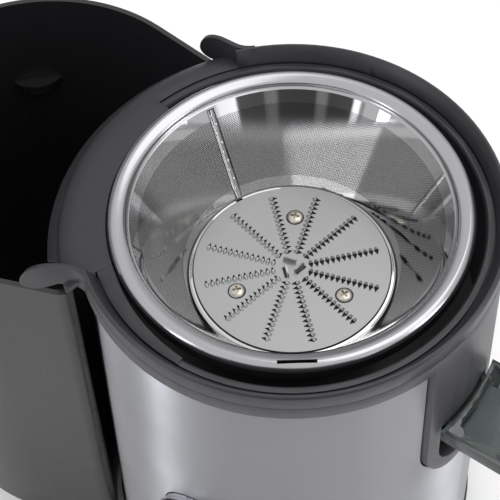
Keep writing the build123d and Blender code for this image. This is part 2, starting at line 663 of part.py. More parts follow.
def bin_outline(inset, z):
    """The bin's plan: round at the back, straight sides that close in, corners at the body."""
    radius = BIN_R - inset
    turn = radians(BIN_SIDE_ANGLE)
    join_x = BIN_CENTRE_X + radius * cos(turn)
    join_y = radius * sin(turn)
    corner_x = BIN_SIDE_X - inset
    corner_y = join_y - (corner_x - join_x) / tan(turn)
    back = ThreePointArc((join_x, -join_y), (BIN_CENTRE_X - radius, 0), (join_x, join_y))
    top_side = Line((join_x, join_y), (corner_x, corner_y))
    end = Line((corner_x, corner_y), (corner_x, -corner_y))
    low_side = Line((corner_x, -corner_y), (join_x, -join_y))
    outline = make_face([back, top_side, end, low_side])
    corners = [v for v in outline.vertices() if v.X > corner_x - 1]
    return Pos(0, 0, z) * fillet(corners, BIN_CORNER_R)


def bin_solid(inset, bottom):
    """The bin's tapered outer form, less the hollow that fits round the body."""
    solid = loft([bin_outline(inset + BIN_DRAFT, bottom), bin_outline(inset, BIN_RIM_Z)])
    return solid - rod(BIN_HOLLOW_R + inset, bottom - 1, BIN_RIM_Z + 1)


def grip_ball(radius, side):
    reach = BIN_R - BIN_DRAFT / 4 + GRIP_R - GRIP_DEPTH
    x = BIN_CENTRE_X + reach * cos(radians(GRIP_ANGLE))
    y = side * reach * sin(radians(GRIP_ANGLE))
    return Pos(x, y, GRIP_Z) * Sphere(radius)


def pulp_bin():
    """The open bin, with a finger recess pressed into each side."""
    outer = bin_solid(0, 0.0)
    hollow = bin_solid(BIN_WALL, 3.0)
    for side in (-1, 1):
        below = block((-230, -100), (-100, 100), (GRIP_Z - 30, GRIP_Z))
        hollow -= grip_ball(GRIP_R, side) & below
    bin_shape = outer - hollow
    for side in (-1, 1):
        below = block((-230, -100), (-100, 100), (GRIP_Z - 30, GRIP_Z - BIN_WALL))
        bin_shape -= grip_ball(GRIP_R - BIN_WALL, side) & below
    return bin_shape


# ---- writing the pieces -----------------------------------------------------------------

PIECES = {
    "basket_rim": basket_rim,
    "basket_mesh": basket_mesh,
    "overlap_strip": overlap_strip,
    "basket_base": basket_base,
    "grater_disc": grater_disc,
    "disc_screws": disc_screws,
    "juice_bowl": juice_bowl,
    "housing_collar": housing_collar,
    "body_shell": body_shell,
    "base_plate": base_plate,
    "rubber_feet": rubber_feet,
    "base_screws": base_screws,
    "motor_deck": motor_deck,
    "upper_bearing": upper_bearing,
    "shaft_seal": shaft_seal,
    "motor_stator": motor_stator,
    "field_coils": field_coils,
    "motor_bolts": motor_bolts,
    "bearing_bridge": bearing_bridge,
    "bridge_spacers": bridge_spacers,
    "lower_bearing": lower_bearing,
    "carbon_brushes": carbon_brushes,
    "brush_holders": brush_holders,
    "control_board": control_board,
    "cord_gland": cord_gland,
    "dial_bezel": dial_bezel,
    "light_ring": light_ring,
    "speed_switch": speed_switch,
    "dial_knob": dial_knob,
    "dial_shaft": dial_shaft,
    "dial_pointer": dial_pointer,
    "motor_shaft": motor_shaft,
    "rotor_core": rotor_core,
    "commutator": commutator,
    "cooling_fan": cooling_fan,
    "drive_coupling": drive_coupling,
    "juice_spout": juice_spout,
    "pulp_bin": pulp_bin,
}


def as_part(shape):
    """One compound for a node, whether it is one solid or a group of separate ones."""
    solids = shape if isinstance(shape, list) else [shape]
    return Compound(children=[solid for item in solids for solid in item.solids()])


def main():
    os.makedirs("parts", exist_ok=True)
    parts = {name: as_part(make()) for name, make in PIECES.items()}
    footprint = Compound(children=[part.moved(Location()) for part in parts.values()]).bounding_box()
    middle = footprint.center()
    shift = Location((-middle.X, -middle.Y, -footprint.min.Z))
    print("basket axis at", round(-middle.X, 3), round(-middle.Y, 3), "lift", round(-footprint.min.Z, 3))
    for name, part in parts.items():
        export_step(part.moved(shift), f"parts/{name}.step")


main()
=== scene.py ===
import json
from math import atan2, ceil, cos, floor, hypot, pi, radians, sin

import bmesh
import bpy
from mathutils import Matrix, Vector
from mathutils.geometry import delaunay_2d_cdt


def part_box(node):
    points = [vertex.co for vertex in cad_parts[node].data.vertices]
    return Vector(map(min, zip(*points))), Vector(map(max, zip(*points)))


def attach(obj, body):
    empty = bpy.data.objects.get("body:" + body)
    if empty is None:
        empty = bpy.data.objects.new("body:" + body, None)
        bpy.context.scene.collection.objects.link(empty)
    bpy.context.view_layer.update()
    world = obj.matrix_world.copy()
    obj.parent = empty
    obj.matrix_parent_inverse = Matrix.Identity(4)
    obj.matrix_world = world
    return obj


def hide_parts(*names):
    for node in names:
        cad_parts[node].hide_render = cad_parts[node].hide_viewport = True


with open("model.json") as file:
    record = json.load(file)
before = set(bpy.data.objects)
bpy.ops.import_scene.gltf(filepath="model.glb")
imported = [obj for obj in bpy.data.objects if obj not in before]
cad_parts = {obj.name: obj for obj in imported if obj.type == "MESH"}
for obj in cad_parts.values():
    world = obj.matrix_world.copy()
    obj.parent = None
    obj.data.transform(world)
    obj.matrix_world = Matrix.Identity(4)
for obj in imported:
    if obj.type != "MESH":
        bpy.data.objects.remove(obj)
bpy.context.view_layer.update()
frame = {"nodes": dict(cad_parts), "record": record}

# Shapes are worked out in millimetres about the basket's axis, with heights measured from
# the rim plane, and turned into the frame's metres by spot() and mesh_piece().
MM = 0.001
RIM_LOW, RIM_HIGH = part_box("basket_rim")
AXIS = (RIM_LOW + RIM_HIGH) / 2
AXIS.z = 0.0
CREST_RISE = 2.0
RIM_Z = RIM_HIGH.z - CREST_RISE * MM
RIM_R = (RIM_HIGH.x - RIM_LOW.x) / 2 / MM

# ---- driving sizes -----------------------------------------------------------------------

CONE_TOP_R, CONE_TOP_Z = 68.6, -1.8
CONE_BOTTOM_R, CONE_BOTTOM_Z = 45.1, -43.4
HOLES_TOP_R, HOLES_BOTTOM_R = 66.0, 47.6
HOLE_PITCH = 0.88
HOLE_HALF = 0.35
BAND_LAP, BAND_LIFT = 0.5, 0.06
OVERLAP_ANGLE = radians(148.9)
OVERLAP_HALF = 1.8
OVERLAP_EDGE_LIFT, OVERLAP_FLAT_LIFT, OVERLAP_FLAT = 0.08, 0.5, 0.92
WELD_COUNT, WELD_SIDES, WELD_MIDDLE_LIFT = 9, 12, 0.52
# The (radius, lift) of each ring of a spot weld, from its middle outwards
WELD_RINGS = ((0.34, 0.80), (0.72, 0.46))

DISC_R = 43.6
DISC_Z = -42.3
DISC_THICKNESS = 1.0
TOOTH_ROWS, TEETH_PER_ROW = 12, 13
TOOTH_FIRST_R, TOOTH_PITCH = 8.6, 2.5
TOOTH_HALF, TOOTH_LENGTH, TOOTH_DOME, TOOTH_RISE = 1.12, 2.3, 1.7, 1.15
TOOTH_POINT_HALF, TOOTH_WALL = 0.12, 0.3
DOME_BACK, DOME_WIDENING, DOME_OVERHANG, DOME_CLEARANCE = 0.30, 0.70, 0.25, 0.02
ROW_START = radians(40.5)
SCREW_RING_R, SCREW_HOLE_R, SCREW_COUNT = 27.2, 4.1, 3
SCREW_START = radians(114.0)
SCREW_HEAD_R = 3.7
RECESS_SIZE, RECESS_Z, RECESS_TURN = (3.9, 1.0, 3.4), 1.5, 1.7
TAB_R, TAB_HALF, TAB_THICKNESS, TAB_HEIGHT, TAB_COUNT = 3.4, 2.9, 0.8, 2.6, 3
TAB_START, TAB_LEAN = radians(14.0), radians(-33.0)
WINDOW_NEAR, WINDOW_FAR = 0.5, 1.5
DISC_STEPS, SCREW_HOLE_STEPS, SEARCH_CELL = 200, 20, 4

SLOT_ANGLE = radians(-61.3)
SLOT_HALF_LENGTH, SLOT_HALF_WIDTH = 8.0, 0.8

# The corner of the chute's lip that is taken off, as boxes from a lowest to a highest corner
CHUTE_CUTS = [
    ((-90.0, -84.0, -60.0), (-73.5, -60.0, -13.7)),
    ((-74.0, -84.0, -60.0), (-65.5, -60.0, -10.0)),
    ((-66.0, -84.0, -60.0), (-58.0, -62.5, -10.0)),
    ((-76.0, -84.0, -60.0), (-73.0, -60.0, -11.2)),
]


# ---- mesh helpers ------------------------------------------------------------------------

def spot(x, y, z):
    """Millimetres about the basket's axis and rim plane, as a place in the frame."""
    return Vector((AXIS.x + x * MM, AXIS.y + y * MM, RIM_Z + z * MM))


def mesh_piece(name, verts, faces, body, slot_name, stands_for=(), sharp=radians(35)):
    """A new piece from millimetre vertices, riding a body and painted from its slot."""
    mesh = bpy.data.meshes.new(name)
    mesh.from_pydata([spot(*v) for v in verts], [], faces)
    mesh.validate()
    mesh.shade_smooth()
    mesh.set_sharp_from_angle(angle=sharp)
    piece = bpy.data.objects.new(name, mesh)
    bpy.context.scene.collection.objects.link(piece)
    finish_piece(piece, body, slot_name, stands_for)
    return piece


def finish_piece(piece, body, slot_name, stands_for=()):
    piece.data.materials.clear()
    piece.data.materials.append(paint[slot_name])
    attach(piece, body)
    if stands_for:
        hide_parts(*stands_for)


def lathe(profile, steps=256, closed=True):
    """Vertices and faces of a (radius, height) profile turned right round."""
    verts = []
    for k in range(steps):
        turn = 2 * pi * k / steps
        verts += [(r * cos(turn), r * sin(turn), z) for r, z in profile]
    count = len(profile)
    faces = []
    for k in range(steps):
        here, there = k * count, (k + 1) % steps * count
        for j in range(count if closed else count - 1):
            after = (j + 1) % count
            faces.append((here + j, there + j, there + after, here + after))
    return verts, faces


def smooth_path(points, steps=5):
    """A Catmull-Rom curve through (radius, height) points."""
    path = []
    last = len(points) - 1
    for k in range(last):
        a, b, c, d = (points[min(max(k + j, 0), last)] for j in (-1, 0, 1, 2))
        for s in range(steps):
            t = s / steps
            path.append(tuple(
                0.5 * (2 * b[i] + (c[i] - a[i]) * t + (2 * a[i] - 5 * b[i] + 4 * c[i] - d[i]) * t * t
                       + (3 * b[i] - a[i] - 3 * c[i] + d[i]) * t ** 3)
                for i in (0, 1)))
    return path + [points[-1]]


def joined(parts):
    """Several (vertices, faces) lists as one."""
    verts, faces = [], []
    for more_verts, more_faces in parts:
        start = len(verts)
        verts += more_verts
        faces += [tuple(start + i for i in face) for face in more_faces]
    return verts, faces


def softened(node, width, segments=2):
    """A CAD node's shape again with its edges rounded, standing for that node."""
    name = node + "_soft"
    mesh = frame["nodes"][node].data.copy()
    mesh.name = name
    work = bmesh.new()
    work.from_mesh(mesh)
    bmesh.ops.remove_doubles(work, verts=work.verts, dist=0.00001)
    bmesh.ops.dissolve_limit(work, angle_limit=radians(0.4), verts=work.verts, edges=work.edges)
    work.to_mesh(mesh)
    work.free()
    mesh.shade_smooth()
    piece = bpy.data.objects.new(name, mesh)
    bpy.context.scene.collection.objects.link(piece)
    bevel = piece.modifiers.new("edges", "BEVEL")
    bevel.width = width * MM
    bevel.segments = segments
    bevel.limit_method = "ANGLE"
    bevel.angle_limit = radians(32)
    bevel.harden_normals = True
    finish_piece(piece, BODY_OF[node], SLOT_OF[node], [node])
    return piece


# ---- materials ---------------------------------------------------------------------------

SLOT_OF = {part["node"]: part["material_slot"] for part in frame["record"]["subparts"]}
BODY_OF = {n: b for b, ns in frame["record"]["behaviour"]["bodies"].items() for n in ns}


def add_node(tree, kind, **sockets):
    node = tree.nodes.new(kind)
    for key, value in sockets.items():
        node.inputs[key].default_value = value
    return node


def noise_field(tree, scale, stretch, detail=4.0):
    """A noise over the object, its grain stretched by unequal scales."""
    place = tree.nodes.new("ShaderNodeTexCoord")
    mapping = add_node(tree, "ShaderNodeMapping", Scale=stretch)
    noise = add_node(tree, "ShaderNodeTexNoise", Scale=scale, Detail=detail, Roughness=0.6)
    tree.links.new(place.outputs["Object"], mapping.inputs["Vector"])
    tree.links.new(mapping.outputs["Vector"], noise.inputs["Vector"])
    return noise.outputs["Fac"]


def spread(tree, field, low, high):
    """A noise field opened out to run between two values."""
    ramp = add_node(tree, "ShaderNodeMapRange")
    ramp.inputs["From Min"].default_value = 0.3
    ramp.inputs["From Max"].default_value = 0.7
    ramp.inputs["To Min"].default_value = low
    ramp.inputs["To Max"].default_value = high
    tree.links.new(field, ramp.inputs["Value"])
    return ramp.outputs["Result"]


def tinted(tree, field, low, high):
    """Two close colours mixed by a noise field."""
    mix = tree.nodes.new("ShaderNodeMix")
    mix.data_type = "RGBA"
    mix.inputs["A"].default_value = (*low, 1)
    mix.inputs["B"].default_value = (*high, 1)
    tree.links.new(spread(tree, field, 0.0, 1.0), mix.inputs["Factor"])
    return mix.outputs["Result"]


def make_paint(name, color, rough, vary=0.05, shade=0.12, grain=900.0, stretch=(1, 1, 1), relief=0.08,
               patches=14.0, metal=0.0, **constant):
    """A surface with fine grain in its relief, and broad patches in its gloss and colour."""
    material = bpy.data.materials.new(name)
    material.use_nodes = True
    tree = material.node_tree
    shader = tree.nodes["Principled BSDF"]
    shader.inputs["Metallic"].default_value = metal
    for key, value in constant.items():
        shader.inputs[key.replace("_", " ")].default_value = value
    broad = noise_field(tree, patches, (1, 1, 1))
    fine = noise_field(tree, grain, stretch, 2.0)
    both = tree.nodes.new("ShaderNodeMath")
    both.operation = "ADD"
    tree.links.new(spread(tree, broad, rough - vary, rough + vary), both.inputs[0])
    tree.links.new(spread(tree, fine, -vary / 2, vary / 2), both.inputs[1])
    tree.links.new(both.outputs["Value"], shader.inputs["Roughness"])
    low = [c * (1 - shade) for c in color]
    high = [min(c * (1 + shade), 1.0) for c in color]
    tree.links.new(tinted(tree, broad, low, high), shader.inputs["Base Color"])
    bump = add_node(tree, "ShaderNodeBump", Strength=relief, Distance=0.0002)
    tree.links.new(fine, bump.inputs["Height"])
    tree.links.new(bump.outputs["Normal"], shader.inputs["Normal"])
    return material


RINGS = (0.004, 0.004, 1.0)
STREAKS = (1.0, 0.02, 0.4)
PAINTS = {
    "bowl_plastic": dict(color=(0.022, 0.022, 0.026), rough=0.42, relief=0.16, grain=1800),
    "collar_plastic": dict(color=(0.044, 0.043, 0.048), rough=0.44, relief=0.16, grain=1800),
    "brushed_sleeve": dict(color=(0.30, 0.30, 0.312), rough=0.36, metal=1, grain=5000, stretch=RINGS,
                           relief=0.25, shade=0.03, vary=0.04, Anisotropic=0.96, Anisotropic_Rotation=0.25),
    "base_plastic": dict(color=(0.03, 0.03, 0.032), rough=0.5, relief=0.2, grain=1500),
    "foot_rubber": dict(color=(0.02, 0.02, 0.02), rough=0.8, relief=0.4, grain=1200),
    "bin_plastic": dict(color=(0.016, 0.014, 0.016), rough=0.30, relief=0.10, grain=1500, patches=9,
                        vary=0.08),
    "rim_steel": dict(color=(0.40, 0.40, 0.41), rough=0.20, metal=1, grain=4000, stretch=RINGS,
                      relief=0.05, shade=0.02, vary=0.05),
    "mesh_steel": dict(color=(0.60, 0.60, 0.605), rough=0.035, metal=1, grain=1500, relief=0.015,
                       shade=0.04, vary=0.015),
    "basket_plastic": dict(color=(0.03, 0.03, 0.033), rough=0.5, relief=0.2, grain=1400),
    "disc_steel": dict(color=(0.36, 0.36, 0.365), rough=0.36, metal=1, grain=2600, stretch=STREAKS,
                       relief=0.16, shade=0.03, vary=0.06),
    "screw_steel": dict(color=(0.50, 0.47, 0.42), rough=0.28, metal=1, grain=3000, relief=0.12,
                        vary=0.08, patches=300),
    "spout_clear": dict(color=(0.10, 0.118, 0.115), rough=0.09, relief=0.05, grain=600, vary=0.03,
                        Transmission_Weight=0.7, IOR=1.46),
    "dial_chrome": dict(color=(0.66, 0.67, 0.70), rough=0.10, metal=1, grain=2500, relief=0.03,
                        shade=0.02, vary=0.03),
    "light_ring": dict(color=(0.02, 0.06, 0.16), rough=0.12, relief=0.04, grain=900, vary=0.03),
    "pointer_white": dict(color=(0.80, 0.80, 0.78), rough=0.45, relief=0.1, grain=2500, shade=0.03),
    "zinc_steel": dict(color=(0.55, 0.55, 0.56), rough=0.32, metal=1, grain=3000, relief=0.12),
    "inner_plastic": dict(color=(0.09, 0.09, 0.095), rough=0.5, relief=0.18, grain=1500),
    "coupling_nylon": dict(color=(0.05, 0.05, 0.05), rough=0.45, relief=0.18, grain=1500),
    "bearing_steel": dict(color=(0.60, 0.60, 0.62), rough=0.22, metal=1, grain=4000, relief=0.08),
    "seal_rubber": dict(color=(0.025, 0.025, 0.025), rough=0.7, relief=0.3, grain=1400),
    "gland_rubber": dict(color=(0.02, 0.02, 0.02), rough=0.65, relief=0.3, grain=1400),
    "lamination_steel": dict(color=(0.16, 0.17, 0.19), rough=0.45, metal=1, grain=2500,
                             stretch=RINGS, relief=0.5),
    "copper": dict(color=(0.62, 0.28, 0.13), rough=0.34, metal=1, grain=2500, stretch=RINGS, relief=0.5),
    "bridge_aluminium": dict(color=(0.55, 0.55, 0.57), rough=0.45, metal=1, grain=1800, relief=0.35),
    "carbon": dict(color=(0.03, 0.03, 0.03), rough=0.6, relief=0.3, grain=2000),
    "board_green": dict(color=(0.03, 0.14, 0.06), rough=0.3, relief=0.12, grain=1200, patches=60),
}


# ---- strainer basket ---------------------------------------------------------------------

def cone_spot(r, turn, lift=0.0):
    """A place on the strainer cone's inner face, raised off it towards the axis."""
    share = (r - CONE_BOTTOM_R) / (CONE_TOP_R - CONE_BOTTOM_R)
    z = CONE_BOTTOM_Z + share * (CONE_TOP_Z - CONE_BOTTOM_Z)
    return ((r - lift) * cos(turn), (r - lift) * sin(turn), z + lift / 2)


SLOPE = (CONE_TOP_R - CONE_BOTTOM_R) / hypot(CONE_TOP_R - CONE_BOTTOM_R, CONE_TOP_Z - CONE_BOTTOM_Z)


def perforated_wall():
    """The holed part of the cone: a staggered grid of small holes, punched flat and rolled up."""
    verts, faces = [], []
    outer, inner = HOLES_TOP_R / SLOPE, HOLES_BOTTOM_R / SLOPE
    half_sheet = pi * SLOPE
    row_step = HOLE_PITCH * 0.866
    half_x, half_y = HOLE_PITCH / 2, row_step / 2
    ring = [(-half_x, -half_y), (half_x, -half_y), (half_x, half_y), (-half_x, half_y),
            (0, -HOLE_HALF), (HOLE_HALF, 0), (0, HOLE_HALF), (-HOLE_HALF, 0)]
    fan = [(0, 1, 4), (1, 5, 4), (1, 2, 5), (2, 6, 5), (2, 3, 6), (3, 7, 6), (3, 0, 7), (0, 4, 7)]
    for row in range(floor(-outer / row_step), ceil(outer / row_step) + 1):
        y = row * row_step
        for column in range(floor(-outer / HOLE_PITCH), ceil(outer / HOLE_PITCH) + 1):
            x = (column + 0.5 * (row % 2)) * HOLE_PITCH
            reach = hypot(x, y)
            if not inner < reach < outer or abs(atan2(y, x)) > half_sheet:
                continue
            start = len(verts)
            for dx, dy in ring:
                turn = atan2(y + dy, x + dx) / SLOPE + OVERLAP_ANGLE + pi
                verts.append(cone_spot(hypot(x + dx, y + dy) * SLOPE, turn))
            faces += [tuple(start + i for i in face) for face in fan]
    return verts, faces


def plain_band(low_r, high_r, lift):
    """A band of the cone with no holes."""
    steps = 256
    verts = []
    for k in range(steps):
        verts += [cone_spot(low_r, 2 * pi * k / steps, lift), cone_spot(high_r, 2 * pi * k / steps, lift)]
    faces = [(2 * k, 2 * k + 1, (2 * k + 3) % (2 * steps), (2 * k + 2) % (2 * steps)) for k in range(steps)]
    return verts, faces


def make_strainer():
    holed = perforated_wall()
    low = plain_band(CONE_BOTTOM_R, HOLES_BOTTOM_R + BAND_LAP, BAND_LIFT)
    high = plain_band(HOLES_TOP_R - BAND_LAP, CONE_TOP_R, BAND_LIFT)
    lip_profile = [(CONE_BOTTOM_R - 0.9, CONE_BOTTOM_Z + 0.35), (CONE_BOTTOM_R + 0.1, CONE_BOTTOM_Z + 0.15)]
    lip = lathe(lip_profile, closed=False)
    verts, faces = joined([holed, low, high, lip])
    mesh_piece("strainer_sheet", verts, faces, "basket", "mesh_steel", ["basket_mesh"])


def make_overlap():
    """The narrow overlap where the rolled sheet is joined, with its row of spot welds."""
    steps = 24
    low_r, high_r = CONE_BOTTOM_R + 0.6, CONE_TOP_R - 0.5
    section = ((-1, OVERLAP_EDGE_LIFT), (-OVERLAP_FLAT, OVERLAP_FLAT_LIFT),
               (OVERLAP_FLAT, OVERLAP_FLAT_LIFT), (1, OVERLAP_EDGE_LIFT))
    verts, faces = [], []
    for j in range(steps + 1):
        r = low_r + (high_r - low_r) * j / steps
        for across, lift in section:
            verts.append(cone_spot(r, OVERLAP_ANGLE + across * OVERLAP_HALF / r, lift))
    for j in range(steps):
        for i in range(3):
            a = 4 * j + i
            faces.append((a, a + 4, a + 5, a + 1))
    parts = [(verts, faces)]
    for k in range(WELD_COUNT):
        r = HOLES_BOTTOM_R + (k + 0.3) * (HOLES_TOP_R - HOLES_BOTTOM_R) / (WELD_COUNT - 1)
        turn = OVERLAP_ANGLE + 0.25 * OVERLAP_HALF * (-1) ** k / r
        verts = [cone_spot(r, turn, WELD_MIDDLE_LIFT)]
        for size, lift in WELD_RINGS:
            for j in range(WELD_SIDES):
                angle = 2 * pi * j / WELD_SIDES
                verts.append(cone_spot(r + size * cos(angle) * SLOPE, turn + size * sin(angle) / r, lift))
        faces = [(0, 1 + j, 1 + (j + 1) % WELD_SIDES) for j in range(WELD_SIDES)]
        for j in range(WELD_SIDES):
            after = (j + 1) % WELD_SIDES
            faces.append((1 + j, 1 + WELD_SIDES + j, 1 + WELD_SIDES + after, 1 + after))
        parts.append((verts, faces))
    mesh_piece("overlap_band", *joined(parts), "basket", "mesh_steel", ["overlap_strip"], sharp=radians(80))


def boxes(sizes_and_places):
    """A cutter made of boxes, each (size in mm, place in the frame, turn about Z)."""
    mesh = bpy.data.meshes.new("cutter")
    work = bmesh.new()
    for size, place, turn in sizes_and_places:
        made = bmesh.ops.create_cube(work, size=1.0)["verts"]
        grow = Matrix.Diagonal((*(axis * MM for axis in size), 1))
        bmesh.ops.transform(work, matrix=Matrix.Translation(place) @ Matrix.Rotation(turn, 4, "Z") @ grow,
                            verts=made)
    work.to_mesh(mesh)
    work.free()
    cutter = bpy.data.objects.new("cutter", mesh)
    bpy.context.scene.collection.objects.link(cutter)
    return cutter


def cut_away(piece, cutter):
    """Takes a cutter's shape out of a piece, and deletes the cutter."""
    cut = piece.modifiers.new("cut", "BOOLEAN")
    cut.object = cutter
    cut.solver = "EXACT"
    cut.use_self = True
    bpy.context.view_layer.objects.active = piece
    bpy.ops.object.modifier_apply(modifier="cut")
    bpy.data.objects.remove(cutter)


def make_screws():
    """Three pan-head screws sunk in the disc, each with a deep cross recess."""
    head = smooth_path([
        (0.01, 1.55), (1.8, 1.45), (2.9, 1.05), (3.5, 0.45), (SCREW_HEAD_R, -0.1), (SCREW_HEAD_R, -0.9),
    ], 4)
    profile = head + [(1.6, -0.9), (1.6, -4.0), (0.01, -4.0)]
    verts, faces = lathe(profile, 48)
    parts, arms = [], []
    for k in range(SCREW_COUNT):
        turn = SCREW_START + k * 2 * pi / SCREW_COUNT
        x, y = SCREW_RING_R * cos(turn), SCREW_RING_R * sin(turn)
        parts.append(([(x + a, y + b, DISC_Z + c) for a, b, c in verts], faces))
        for quarter in (0, pi / 2):
            arms.append((RECESS_SIZE, spot(x, y, DISC_Z + RECESS_Z), turn * RECESS_TURN + quarter))
    screws = mesh_piece("cross_head_screws", *joined(parts), "basket", "screw_steel", ["disc_screws"])
    cut_away(screws, boxes(arms[0::2]))
    cut_away(screws, boxes(arms[1::2]))


def make_rim():
    """The rolled rim: a soft crest between the cone and the turned-down hem, with its slot."""
    crest = RIM_R - 3.5
    outside = smooth_path([
        (CONE_TOP_R - 0.2, CONE_TOP_Z - 0.3), (69.8, -1.2), (70.6, 0.4), (72.4, 1.4), (crest, CREST_RISE),
        (crest + 1.4, 1.7), (crest + 2.6, 0.9), (RIM_R - 0.2, -0.4), (RIM_R, -1.8), (RIM_R, -6.0),
    ])
    inside = smooth_path([
        (RIM_R - 0.7, -6.0), (RIM_R - 0.7, -1.8), (crest + 2.1, 0.1), (crest, 1.2), (71.0, -0.3),
        (70.0, CONE_TOP_Z - 0.1),
    ])
    rim = mesh_piece("rolled_rim", *lathe(outside + inside, 288), "basket", "rim_steel", ["basket_rim"])
    place = spot(crest * cos(SLOT_ANGLE), crest * sin(SLOT_ANGLE), 0)
    cut_away(rim, boxes([((2 * SLOT_HALF_WIDTH, 2 * SLOT_HALF_LENGTH, 8), place, SLOT_ANGLE)]))


def trim_chute(bowl):
    """Takes off the corner of the chute's lip that would stand out below the front ear."""
    for low, high in CHUTE_CUTS:
        size = tuple(b - a for a, b in zip(low, high))
        middle = tuple((a + b) / 2 for a, b in zip(low, high))
        cut_away(bowl, boxes([(size, spot(*middle), 0.0)]))


# ---- grater disc -------------------------------------------------------------------------

def turned_to(x, y, turn):
    return (x * cos(turn) - y * sin(turn), x * sin(turn) + y * cos(turn))


def tooth_places():
    """The (radius, angle) of every tooth."""
    return [(TOOTH_FIRST_R + k * TOOTH_PITCH, ROW_START + row * 2 * pi / TOOTH_ROWS)
            for row in range(TOOTH_ROWS) for k in range(TEETH_PER_ROW)]


def tooth_hole(r, turn):
    """The punched triangle below a tooth, its point leaning clockwise."""
    corners = [(r - TOOTH_HALF, 0.0), (r + TOOTH_HALF, 0.0),
               (r + TOOTH_POINT_HALF, -TOOTH_LENGTH), (r - TOOTH_POINT_HALF, -TOOTH_LENGTH)]
    return [turned_to(x, y, turn) for x, y in corners]


def tab_frame(k):
    turn = TAB_START + k * 2 * pi / TAB_COUNT
    return TAB_R * cos(turn), TAB_R * sin(turn), turn + TAB_LEAN


def tab_window(k):
    """The narrow hole each upright blade is bent up from."""
    x, y, turn = tab_frame(k)
    corners = [(WINDOW_NEAR, -TAB_HALF), (WINDOW_FAR, -TAB_HALF),
               (WINDOW_FAR, TAB_HALF), (WINDOW_NEAR, TAB_HALF)]
    return [(x + turned_to(a, b, turn)[0], y + turned_to(a, b, turn)[1]) for a, b in corners]


def inside(point, polygon):
    x, y = point
    hit = False
    for (x0, y0), (x1, y1) in zip(polygon, polygon[1:] + polygon[:1]):
        if (y0 > y) != (y1 > y) and x < (x1 - x0) * (y - y0) / (y1 - y0) + x0:
            hit = not hit
    return hit


def circle(cx, cy, r, steps):
    return [(cx + r * cos(2 * pi * k / steps), cy + r * sin(2 * pi * k / steps)) for k in range(steps)]


def punched_sheet():
    """The flat of the disc, with every hole cut through its thickness."""
    holes = [tooth_hole(r, turn) for r, turn in tooth_places()]
    holes += [tab_window(k) for k in range(TAB_COUNT)]
    for k in range(SCREW_COUNT):
        turn = SCREW_START + k * 2 * pi / SCREW_COUNT
        x, y = SCREW_RING_R * cos(turn), SCREW_RING_R * sin(turn)
        holes.append(circle(x, y, SCREW_HOLE_R, SCREW_HOLE_STEPS))
    points, edges = [], []
    for loop in [circle(0, 0, DISC_R, DISC_STEPS)] + holes:
        start = len(points)
        points += [Vector(p) for p in loop]
        edges += [(start + k, start + (k + 1) % len(loop)) for k in range(len(loop))]
    flat, _, triangles, *_ = delaunay_2d_cdt(points, edges, [list(range(DISC_STEPS))], 1, 1e-6)
    near = {}
    for hole in holes:
        cx, cy = sum(p[0] for p in hole) / len(hole), sum(p[1] for p in hole) / len(hole)
        for i in (-1, 0, 1):
            for j in (-1, 0, 1):
                near.setdefault((floor(cx / SEARCH_CELL) + i, floor(cy / SEARCH_CELL) + j), []).append(hole)
    kept = []
    for face in triangles:
        middle = tuple(sum(flat[i][axis] for i in face) / 3 for axis in (0, 1))
        cell = (floor(middle[0] / SEARCH_CELL), floor(middle[1] / SEARCH_CELL))
        if not any(inside(middle, hole) for hole in near.get(cell, [])):
            kept.append(tuple(face))
    count = len(flat)
    verts = [(p.x, p.y, DISC_Z) for p in flat] + [(p.x, p.y, DISC_Z - DISC_THICKNESS) for p in flat]
    faces = kept + [tuple(count + i for i in reversed(face)) for face in kept]
    sides = {}
    for face in kept:
        for a, b in zip(face, face[1:] + face[:1]):
            sides[(a, b)] = True
    faces += [(b, a, count + a, count + b) for a, b in sides if (b, a) not in sides]
    return verts, faces


def tooth_dome(r, turn):
    """The metal pushed up behind each hole: a half dome whose mouth is the hole's wide side."""
    across, along = 6, 5
    layers = []
    for drop in (0.0, TOOTH_WALL):
        for j in range(along + 1):
            s = j / along
            half = TOOTH_HALF * (DOME_BACK + DOME_WIDENING * s ** 0.6)
            for i in range(across + 1):
                u = 2 * i / across - 1
                height = TOOTH_RISE * sin(pi / 2 * s) * (1 - u * u) ** 0.8 - drop
                behind = TOOTH_DOME * (1 - s) - DOME_OVERHANG * s * (1 - u * u)
                x, y = turned_to(r + u * half, behind, turn)
                layers.append((x, y, DISC_Z + height + DOME_CLEARANCE))
    width = across + 1
    lower = width * (along + 1)
    faces = []
    for j in range(along):
        for i in range(across):
            a = j * width + i
            faces.append((a, a + width, a + width + 1, a + 1))
            faces.append((lower + a, lower + a + 1, lower + a + width + 1, lower + a + width))
    rim = [j * width for j in range(along + 1)] + [along * width + i for i in range(1, width)]
    rim += [j * width + across for j in range(along - 1, -1, -1)] + list(range(across - 1, 0, -1))
    for a, b in zip(rim, rim[1:] + rim[:1]):
        faces.append((b, a, lower + a, lower + b))
    return layers, faces


def hub_blade(k):
    """One of the three upright blades at the centre, with its upper corners clipped."""
    x, y, turn = tab_frame(k)
    outline = [(-TAB_HALF, -0.3), (TAB_HALF, -0.3), (TAB_HALF, TAB_HEIGHT * 0.55),
               (TAB_HALF * 0.6, TAB_HEIGHT), (-TAB_HALF, TAB_HEIGHT)]
    verts = []
    for depth in (-TAB_THICKNESS / 2, TAB_THICKNESS / 2):
        for along, up in outline:
            dx, dy = turned_to(depth, along, turn)
            verts.append((x + dx, y + dy, DISC_Z + up))
    count = len(outline)
    faces = [tuple(range(count)), tuple(range(2 * count - 1, count - 1, -1))]
    faces += [(i, i + count, (i + 1) % count + count, (i + 1) % count) for i in range(count)]
    return verts, faces


